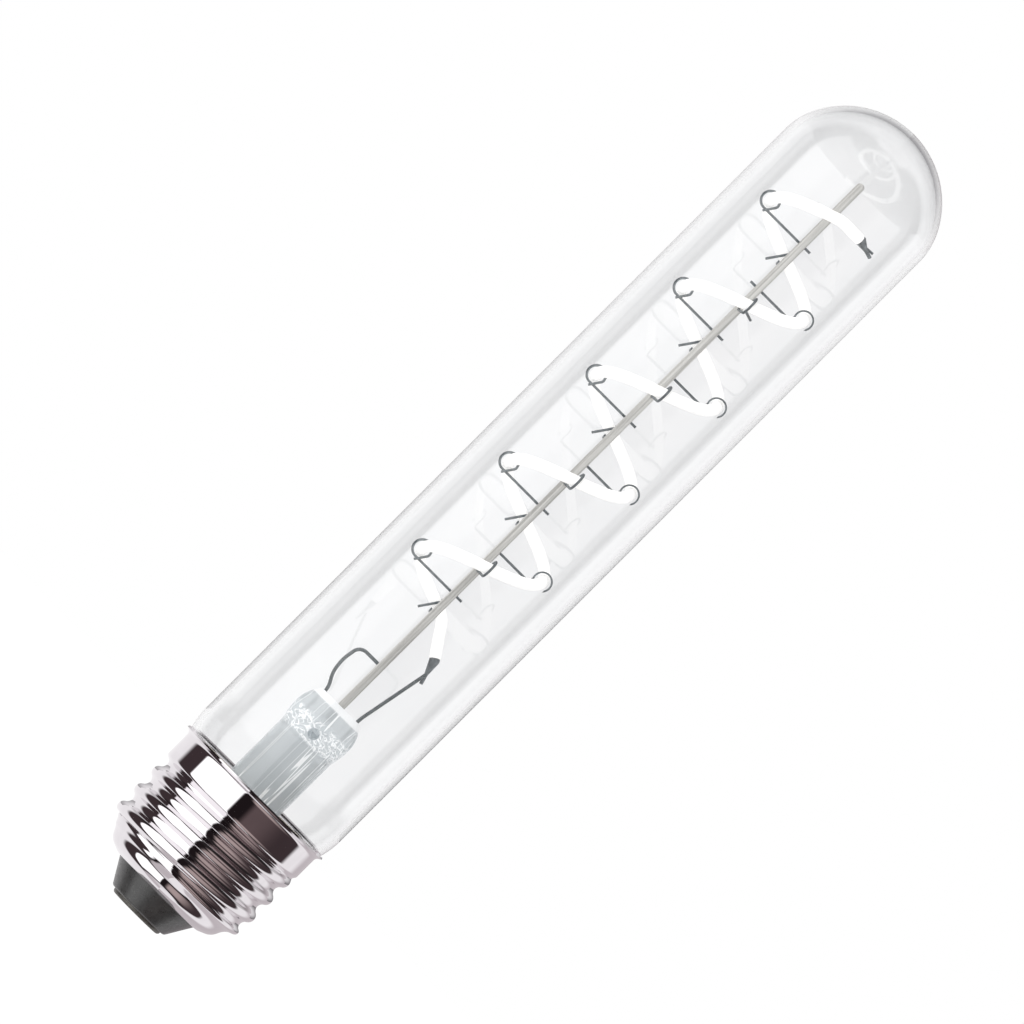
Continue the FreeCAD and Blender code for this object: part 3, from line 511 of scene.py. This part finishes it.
def shell_columns():
    line = shell_line()
    last = SHELL_ROWS - 1
    columns = []
    for side in range(SHELL_SIDES):
        crest = FIRST_CREST + THREAD_PITCH * side / SHELL_SIDES
        outer = []
        for i, point in enumerate(line):
            run = (line[min(i + 1, last)] - line[max(i - 1, 0)]).normalized()
            strength = smooth(BOWL_TOP - FADE_UNDER, BOWL_TOP, point.z)
            strength *= 1 - smooth(COLLAR_FOOT - FADE_OVER, COLLAR_FOOT, point.z)
            press = THREAD_DEPTH * strength * thread_wave((point.z - crest) / THREAD_PITCH)
            outer.append((point.x - run.z * press, point.z + run.x * press))
        inner = []
        for i, (radius, height) in enumerate(outer):
            before, after = outer[max(i - 1, 0)], outer[min(i + 1, last)]
            run = V(after[0] - before[0], 0, after[1] - before[1]).normalized()
            inner.append((radius - SHELL_WALL * run.z, height + SHELL_WALL * run.x))
        columns.append(outer + inner[::-1])
    return columns


def screw_shell(material):
    mesh = turned_mesh("rolled_shell", shell_columns())
    piece("rolled_shell", mesh, "screw_shell", material)


# Glass
TUBE_RADIUS = 14.0
GLASS_WALL = 0.9
BULB_TOP = 162.7
DOME_RISE = 12.8
DOME_KNUCKLE = 11.0
SHOULDER_TOP = 28.8
GLASS_LIP = 13.4
NECK_RADIUS = 11.6
NECK_FOOT = 15.45
NECK_TOP = 22.75
NECK_ROUNDING = 0.2
# How much higher the inside turns than the outside, at the neck and at the lip
NECK_STEP, LIP_STEP = 0.3, 0.2
GLASS_SIDES = 256
TUBE_ROWS = 40


def dome_line(radius, rise, knuckle, foot):
    """From the tube up over the knuckle and the crown to the axis."""
    crown = (rise**2 + (radius - knuckle) ** 2 - knuckle**2) / (2 * (rise - knuckle))
    centre = V(0, 0, foot + rise - crown)
    bend = V(radius - knuckle, 0, foot)
    meet = centre + (bend - centre) * (crown / (crown - knuckle))
    top = V(0, 0, foot + rise)
    return arc(bend, V(radius, 0, foot), meet, steps=24) + arc(centre, meet, top, steps=40)[1:]


def shoulder_line(lip, lip_height, radius):
    """An arc from the lip out to the tube, upright at the tube."""
    inset, height = radius - lip, SHOULDER_TOP - lip_height
    bend = (inset**2 + height**2) / (2 * inset)
    centre = V(radius - bend, 0, SHOULDER_TOP)
    return arc(centre, V(lip, 0, lip_height), V(radius, 0, SHOULDER_TOP), steps=12)


def glass_line(inset, neck_top, lip_height):
    """One face of the wall, from the neck's foot up to the crown."""
    foot = BULB_TOP - DOME_RISE
    radius, neck, lip = TUBE_RADIUS - inset, NECK_RADIUS - inset, GLASS_LIP - inset
    corners = [V(neck, 0, NECK_FOOT), V(neck, 0, neck_top), V(lip, 0, lip_height)]
    line = rounded(corners, NECK_ROUNDING)
    line += shoulder_line(lip, lip_height, radius)[1:]
    for i in range(1, TUBE_ROWS):
        line.append(V(radius, 0, foot * i / TUBE_ROWS + SHOULDER_TOP * (TUBE_ROWS - i) / TUBE_ROWS))
    return line + dome_line(radius, DOME_RISE - inset, DOME_KNUCKLE - inset, foot)


def glass_envelope(material):
    outside = glass_line(0, NECK_TOP, LIP_TOP)
    inside = glass_line(GLASS_WALL, NECK_TOP + NECK_STEP, LIP_TOP + LIP_STEP)
    column = [(point.x, point.z) for point in outside + inside[::-1]]
    mesh = turned_mesh("blown_glass", [column] * GLASS_SIDES)
    glass = piece("blown_glass", mesh, "glass_envelope", material, 70)
    # Even light reaches what the glass holds
    glass.visible_diffuse = False
    glass.visible_shadow = False


# Filament: a spiral that starts at the back, with straight ends that leave it in tangent arcs,
# and a metal tab welded to each end
SPIRAL_RADIUS = 8.0
SPIRAL_LOW = 63.45
SPIRAL_PITCH = 18.2
SPIRAL_TURNS = 4.51
FILAMENT_RADIUS = 0.875
LOW_ANGLE = 90.0
LOW_TAIL = V(4.9, -1.7, -5.7)
HIGH_HEAD = V(4.8, 2.0, 0.35)
END_BEND = 4.0
HIGH_TAB_HEADING = V(2.3, 1.2, -0.65).normalized()
LOW_TAB_HEADING = V(1.2, -0.4, -4.2).normalized()
TAB_LENGTH = {"lower": 2.6, "upper": 2.1}
TAB_TAIL = {"lower": 1.65, "upper": 1.3}
TAB_SLEEVE = 0.84
TAB_TIP = 0.3
TAB_GAP, TAB_COLLAR = 0.02, 0.25
SPIRAL_STEP = 4
RUN_OUT_STEPS = 14


def spiral_point(angle):
    turn = math.radians(LOW_ANGLE + angle)
    height = SPIRAL_LOW + SPIRAL_PITCH * angle / 360
    return V(SPIRAL_RADIUS * math.cos(turn), SPIRAL_RADIUS * math.sin(turn), height)


def spiral_tangent(angle):
    turn = math.radians(LOW_ANGLE + angle)
    rise = SPIRAL_PITCH / (2 * math.pi * SPIRAL_RADIUS)
    return V(-math.sin(turn), math.cos(turn), rise).normalized()


def run_out(start, heading, target, radius):
    """Points on an arc that leaves start along heading and on the run from it to the target."""
    away = target - start
    side = (away - heading * away.dot(heading)).normalized()
    ahead, across = away.dot(heading), away.dot(side)
    # Half of the length squared over across is the largest, where the arc ends on the target
    radius = min(radius, 0.45 * away.length**2 / across)
    reach = math.hypot(ahead, across - radius)
    turn = math.atan2(across - radius, ahead) + math.asin(radius / reach)
    line = []
    for i in range(RUN_OUT_STEPS + 1):
        swept = turn * i / RUN_OUT_STEPS
        aside = radius * (1 - math.cos(swept))
        line.append(start + heading * (radius * math.sin(swept)) + side * aside)
    return line + [line[-1].lerp(target, 0.5), target]


def filament(material, tab):
    top = 360 * SPIRAL_TURNS
    low_end = spiral_point(0) + LOW_TAIL
    high_end = spiral_point(top) + HIGH_HEAD
    low = run_out(spiral_point(0), spiral_tangent(0) * -1, low_end, END_BEND)
    high = run_out(spiral_point(top), spiral_tangent(top), high_end, END_BEND)
    spiral = [spiral_point(angle) for angle in range(SPIRAL_STEP, int(top) - 2, SPIRAL_STEP)]
    mesh = tube_mesh("led_spiral", low[::-1] + spiral + high, FILAMENT_RADIUS, sides=24)
    piece("led_spiral", mesh, "led_filament", material)
    for name, end, before, heading in (
        ("lower", low_end, low[-2], LOW_TAB_HEADING),
        ("upper", high_end, high[-2], HIGH_TAB_HEADING),
    ):
        out = (end - before).normalized()
        foot = end + heading * TAB_LENGTH[name]
        line = [end + out * TAB_GAP, end + out * TAB_COLLAR, foot, foot + heading * TAB_TAIL[name]]
        radii = [TAB_SLEEVE, TAB_SLEEVE, TAB_TIP, TAB_TIP]
        mesh = tube_mesh(f"crimped_tab_{name}", line, radii)
        piece(f"crimped_tab_{name}", mesh, f"filament_tab_{name}", tab)
    return low_end, high_end


# Hooks. Each leg leaves the rod level, loops round the filament and ends in a straight tail;
# angles along the loop are 0 at its outer side and 90 at its top. The scene draws the back row
# and the top front hook, and the frame has the others.
HOOK_WIRE = 0.4
HOOK_LOOP = 1.42
HOOK_BEND = 0.5
LOOP_STEPS = 24
BACK_COUNT = 5
BACK_ANGLE, BACK_LEAN = 95.0, 6.0
BACK_TAIL = V(-1.5, 1.85, -0.9)
FRONT_ANGLE = -84.0
FRONT_TAIL = V(-1.1 * HOOK_LOOP, 1.8, 0)
FRONT_TURN = 3
LOOP_LOW, LOOP_HIGH = -90.0, 200.0
BACK_LOOP_HIGH = 130.0
ROD_RADIUS = 0.65
# Lead wires, from inside the pinched glass
LEAD_WIRE = 0.55
LEAD_SPREAD = 3.3
LEAD_FOOT = 37.4
PRESS_TOP = 43.1
LEAD_RISE = 8.3
LEAD_BULGE = 1.5
# The left lead's corners over the pinched glass: (share of the bulge, share of the rise)
LEFT_CORNERS = ((0.0, 0.08), (0.8, 0.33), (1.0, 0.62), (0.65, 1.0))
RIGHT_STRAIGHT = 0.6
LEFT_ROUNDING, RIGHT_ROUNDING = 0.4, 0.14
# The upper terminal wire, from where it crosses the tab
WELD_GAP = 0.02
CROSSING = 0.3
TERMINAL_BEND = V(-1.6, -0.1, 0.35)
TERMINAL_END = V(0.95, 0.5, 0.5)


def hook_line(high, tail):
    """A hook in its own frame: the rod is at the origin, the leg lies on X, and the tail ends at
    tail from the spiral's line."""
    first, last = math.radians(LOOP_LOW), math.radians(high)
    line = [V(-ROD_RADIUS / 2, 0, 0)]
    for i in range(LOOP_STEPS + 1):
        angle = first + (last - first) * i / LOOP_STEPS
        out, up = HOOK_LOOP * math.cos(angle), HOOK_LOOP * (1 + math.sin(angle))
        line.append(V(SPIRAL_RADIUS + out, 0, up))
    heading = V(-math.sin(last), 0, math.cos(last))
    return line + run_out(line[-1], heading, V(SPIRAL_RADIUS, 0, 0) + tail, HOOK_BEND)[1:]


def hook(kind, number, angle, lean, climbed, line, material):
    """A hook on the rod that grips the spiral where it has climbed that many degrees."""
    turn = Matrix.Rotation(math.radians(angle), 3, "Z")
    swing = turn @ Matrix.Rotation(math.radians(lean), 3, "X")
    base = V(0, 0, spiral_point(climbed).z - HOOK_LOOP * math.cos(math.radians(lean)))
    name = f"{kind}_hook_{number}"
    mesh = tube_mesh(name, [base + swing @ point for point in line], HOOK_WIRE / 2, sides=12)
    piece(name, mesh, f"hook_{kind}_{number}", material)


def climb(angle, lean):
    """How far up the spiral a row's lowest hook grips it, in degrees."""
    swing = math.degrees(HOOK_LOOP * math.sin(math.radians(-lean)) / SPIRAL_RADIUS)
    return (angle + swing - LOW_ANGLE) % 360


def hooks(material):
    back = hook_line(BACK_LOOP_HIGH, BACK_TAIL)
    for number in range(1, BACK_COUNT + 1):
        climbed = climb(BACK_ANGLE, BACK_LEAN) + 360 * (BACK_COUNT - number)
        hook("back", number, BACK_ANGLE, BACK_LEAN, climbed, back, material)
    front = hook_line(LOOP_HIGH, FRONT_TAIL)
    climbed = climb(FRONT_ANGLE, 0.0) + 360 * FRONT_TURN
    hook("front", 1, FRONT_ANGLE, 0.0, climbed, front, material)


def left_lead(material):
    """Bulges out to the left and bends in to end on the rod."""
    line = [V(-LEAD_SPREAD, 0, LEAD_FOOT)]
    for out, up in LEFT_CORNERS:
        line.append(V(-LEAD_SPREAD - out * LEAD_BULGE, 0, PRESS_TOP + up * LEAD_RISE))
    line.append(V(-ROD_RADIUS, 0, PRESS_TOP + LEAD_RISE))
    mesh = tube_mesh("bent_lead_left", rounded(line, LEFT_ROUNDING), LEAD_WIRE / 2)
    piece("bent_lead_left", mesh, "lead_wire_left", material)


def right_lead(low_end, material):
    """Leans out to the filament's lower tab."""
    weld = low_end + LOW_TAB_HEADING * TAB_LENGTH["lower"]
    weld += V(0, -TAB_TIP - LEAD_WIRE / 2 - WELD_GAP, 0)
    line = [V(LEAD_SPREAD, 0, LEAD_FOOT), V(LEAD_SPREAD, 0, PRESS_TOP + RIGHT_STRAIGHT), weld]
    mesh = tube_mesh("bent_lead_right", rounded(line, RIGHT_ROUNDING), LEAD_WIRE / 2)
    piece("bent_lead_right", mesh, "lead_wire_right", material)


def terminal_wire(high_end, material):
    """Runs from the rod, behind the filament, to cross its upper tab."""
    beside = TAB_TIP + HOOK_WIRE / 2 + WELD_GAP
    across = HIGH_TAB_HEADING.cross(V(0, 0, 1)).normalized()
    along_tab = TAB_LENGTH["upper"] + CROSSING * TAB_TAIL["upper"]
    crossing = high_end + HIGH_TAB_HEADING * along_tab - across * beside
    bend = crossing + TERMINAL_BEND
    line = rounded([V(0, 0, bend.z), bend, crossing + TERMINAL_END])
    mesh = tube_mesh("bent_terminal_wire", line, HOOK_WIRE / 2, sides=12)
    piece("bent_terminal_wire", mesh, "upper_terminal_wire", material)


# Materials
def surface(name, colour, metallic=0.0, roughness=0.4, **sockets):
    """A principled material; sockets are more of the shader's own, by name."""
    material = bpy.data.materials.new(name)
    material.use_nodes = True
    inputs = shader(material).inputs
    inputs["Base Color"].default_value = (*colour, 1)
    inputs["Metallic"].default_value = metallic
    inputs["Roughness"].default_value = roughness
    for socket, amount in sockets.items():
        inputs[socket.replace("_", " ")].default_value = amount
    return material


def noise(material, scale, detail=3.0, distortion=0.0, stretch=(1, 1, 1)):
    """A noise texture in the object's own space; scale is in waves per millimetre."""
    all_nodes, links = node_tree(material)
    place = all_nodes.new("ShaderNodeTexCoord")
    mapping = all_nodes.new("ShaderNodeMapping")
    mapping.inputs["Scale"].default_value = stretch
    texture = all_nodes.new("ShaderNodeTexNoise")
    texture.inputs["Scale"].default_value = scale / MM
    texture.inputs["Detail"].default_value = detail
    texture.inputs["Distortion"].default_value = distortion
    links.new(place.outputs["Object"], mapping.inputs["Vector"])
    links.new(mapping.outputs["Vector"], texture.inputs["Vector"])
    return texture.outputs["Fac"]


def vary(material, socket, value, low, high, first=0.3, last=0.7):
    """Maps a value's range from first to last onto low to high in one of the shader's sockets."""
    all_nodes, links = node_tree(material)
    spread = all_nodes.new("ShaderNodeMapRange")
    spread.inputs["From Min"].default_value = first
    spread.inputs["From Max"].default_value = last
    spread.inputs["To Min"].default_value = low
    spread.inputs["To Max"].default_value = high
    links.new(value, spread.inputs["Value"])
    links.new(spread.outputs[0], shader(material).inputs[socket])


def tint(material, value, first, second):
    """Mixes two colours by a value."""
    all_nodes, links = node_tree(material)
    ramp = all_nodes.new("ShaderNodeValToRGB")
    stops = ramp.color_ramp.elements
    for stop, position, colour in ((stops[0], 0.35, first), (stops[1], 0.65, second)):
        stop.position = position
        stop.color = (*colour, 1)
    links.new(value, ramp.inputs["Fac"])
    links.new(ramp.outputs["Color"], shader(material).inputs["Base Color"])


def bump(material, value, height):
    """Raises the surface by a value; height is in millimetres."""
    all_nodes, links = node_tree(material)
    relief = all_nodes.new("ShaderNodeBump")
    relief.inputs["Strength"].default_value = 1.0
    relief.inputs["Distance"].default_value = height * MM
    links.new(value, relief.inputs["Height"])
    links.new(relief.outputs["Normal"], shader(material).inputs["Normal"])


def clear_glass():
    """Clear glass with a faint grey tint that varies a little."""
    grey = (0.955, 0.957, 0.964)
    material = surface("clear_glass", grey, roughness=0.0, Transmission_Weight=1.0, IOR=1.6)
    tint(material, noise(material, 0.12), (0.962, 0.965, 0.97), (0.975, 0.977, 0.981))
    return material


# Heights on the stem: where the wrinkles of the pinch fade in and out, and where the painted white
# highlight on the top edge starts
WRINKLES_FOOT, WRINKLES_TOP = (35.2, 36.4), (40.0, 38.8)
PAINTED_HIGHLIGHT_EDGE = (41.7, 42.3)


def stem_glass():
    """Lead glass with white upright lines, whiter, less clear and wrinkled where it was pinched;
    its top edge carries a painted white highlight, and it has a faint painted glow.
    """
    grey = (0.86, 0.89, 0.9)
    material = surface("stem_glass", grey, roughness=0.04, Transmission_Weight=0.8, IOR=1.45)
    streaks = noise(material, 0.5, 2.0, 0.2, (1, 1, 0.03))
    folds = noise(material, 0.6, 3.0, 1.4)
    wrinkled = overlap(material, upto(material, *WRINKLES_FOOT), upto(material, *WRINKLES_TOP))
    creases = between(material, folds, 0.47, 0.5, 0.55, 0.58)
    lines = between(material, streaks, 0.56, 0.565, 0.575, 0.58)
    # The creases and upright lines are whitened, and the top edge is painted white and less clear
    # as a painted highlight
    pinched = either(material, overlap(material, wrinkled, creases), upto(material, *PAINTED_HIGHLIGHT_EDGE))
    whitened_and_highlit = either(material, pinched, lines)
    tint(material, whitened_and_highlit, (0.7, 0.735, 0.75), (0.95, 0.96, 0.965))
    # Painted glow: the stem glows faintly all over, and more where it is wrinkled
    vary(material, "Emission Strength", wrinkled, 0.06, 0.13, 0.0, 1.0)
    shader(material).inputs["Emission Color"].default_value = (0.9, 0.96, 1, 1)
    vary(material, "Transmission Weight", whitened_and_highlit, 0.45, 0.05, 0.0, 1.0)
    bump(material, overlap(material, wrinkled, folds), 0.4)
    return material


def upto(material, low, high):
    """0 under a height and 1 over it, or the other way when low is the greater."""
    all_nodes, links = node_tree(material)
    place = all_nodes.new("ShaderNodeTexCoord")
    apart = all_nodes.new("ShaderNodeSeparateXYZ")
    links.new(place.outputs["Object"], apart.inputs[0])
    return above(material, apart.outputs["Z"], low * MM, high * MM)


def above(material, value, low, high):
    """0 under a value's low and 1 over its high, or the other way when low is the greater."""
    all_nodes, links = node_tree(material)
    step = all_nodes.new("ShaderNodeMapRange")
    step.interpolation_type = "SMOOTHSTEP"
    step.inputs["From Min"].default_value = min(low, high)
    step.inputs["From Max"].default_value = max(low, high)
    step.inputs["To Min"].default_value = 0.0 if low < high else 1.0
    step.inputs["To Max"].default_value = 1.0 if low < high else 0.0
    links.new(value, step.inputs["Value"])
    return step.outputs[0]


def between(material, value, low, full, fading, high):
    """1 from full to fading, 0 under low and over high."""
    rising = above(material, value, low, full)
    return overlap(material, rising, above(material, value, high, fading))


def joined(material, operation, first, second):
    all_nodes, links = node_tree(material)
    sum_up = all_nodes.new("ShaderNodeMath")
    sum_up.operation = operation
    for socket, value in zip(sum_up.inputs, (first, second)):
        links.new(value, socket)
    return sum_up.outputs[0]


def overlap(material, first, second):
    return joined(material, "MULTIPLY", first, second)


def either(material, first, second):
    return joined(material, "MAXIMUM", first, second)


def nickel():
    """Bright plated metal."""
    material = surface("nickel", (0.8, 0.775, 0.795), metallic=1.0, roughness=0.03)
    tint(material, noise(material, 0.5), (0.815, 0.79, 0.81), (0.785, 0.76, 0.78))
    vary(material, "Roughness", noise(material, 0.4, 2.0), 0.02, 0.045)
    return material


def wire(name, dark, light, metallic=0.7):
    """Drawn or cut metal, a little uneven."""
    material = surface(name, dark, metallic=metallic, roughness=0.45)
    tint(material, noise(material, 1.5), dark, light)
    vary(material, "Roughness", noise(material, 3.0), 0.35, 0.55)
    return material


def rod_metal():
    """Pale satin with fine streaks along the rod."""
    material = surface("rod", (0.85, 0.84, 0.8), roughness=0.35)
    streaks = noise(material, 2.6, 1.0, 0.0, (1, 1, 0.02))
    tint(material, streaks, (0.42, 0.41, 0.39), (0.72, 0.71, 0.68))
    vary(material, "Roughness", noise(material, 3.0), 0.28, 0.42)
    return material


def moulded(name, dark, light, gloss):
    """A moulded or cast surface with a fine grain."""
    material = surface(name, dark, roughness=gloss)
    tint(material, noise(material, 0.8, 4.0), dark, light)
    vary(material, "Roughness", noise(material, 2.0), gloss - 0.05, gloss + 0.08)
    bump(material, noise(material, 3.0, 5.0), 0.01)
    return material


def vitrite():
    """Dark glassy ceramic with a strong, soft gloss."""
    material = moulded("vitrite", (0.018, 0.018, 0.018), (0.028, 0.028, 0.027), 0.3)
    shader(material).inputs["Specular IOR Level"].default_value = 1.0
    return material


def glowing():
    """The lit filament, white with a faint warmth."""
    material = surface("lit_filament", (1.0, 0.99, 0.97), roughness=0.5)
    shader(material).inputs["Emission Color"].default_value = (1, 0.995, 0.98, 1)
    vary(material, "Emission Strength", noise(material, 1.0), 0.28, 0.4)
    return material


def looks():
    """The material of each slot."""
    return {
        "cap_metal": nickel(),
        "insulator": vitrite(),
        "contact_metal": wire("contact", (0.1, 0.097, 0.09), (0.15, 0.143, 0.13)),
        "envelope_glass": clear_glass(),
        "cement": moulded("cement", (0.6, 0.54, 0.44), (0.7, 0.64, 0.53), 0.8),
        "stem_glass": stem_glass(),
        "filament": glowing(),
        "terminal_metal": wire("terminal", (0.16, 0.18, 0.19), (0.26, 0.285, 0.3), 0.4),
        "hook_wire": wire("hook", (0.11, 0.13, 0.14), (0.2, 0.225, 0.24), 0.4),
        "lead_wire": wire("lead", (0.1, 0.12, 0.125), (0.18, 0.2, 0.21), 0.4),
        "rod": rod_metal(),
        "copper_wire": wire("tinned_copper", (0.55, 0.53, 0.52), (0.66, 0.64, 0.62)),
        "board": moulded("board", (0.7, 0.72, 0.68), (0.78, 0.8, 0.75), 0.5),
        "package": moulded("package", (0.02, 0.02, 0.02), (0.04, 0.04, 0.04), 0.6),
        "capacitor_can": wire("can", (0.4, 0.42, 0.45), (0.5, 0.52, 0.55)),
        "resistor": moulded("resistor", (0.2, 0.32, 0.24), (0.26, 0.4, 0.3), 0.6),
    }


def paint(look):
    """Gives every node the material of its slot."""
    for part in frame["record"]["subparts"]:
        data = nodes[part["node"]].data
        data.materials.clear()
        data.materials.append(look[part["material_slot"]])


camera()
world()
floor()
light_tents()
behind_tube()
soft_light()
look = looks()
paint(look)
screw_shell(look["cap_metal"])
glass_envelope(look["envelope_glass"])
low_end, high_end = filament(look["filament"], look["terminal_metal"])
hooks(look["hook_wire"])
left_lead(look["lead_wire"])
right_lead(low_end, look["lead_wire"])
terminal_wire(high_end, look["hook_wire"])
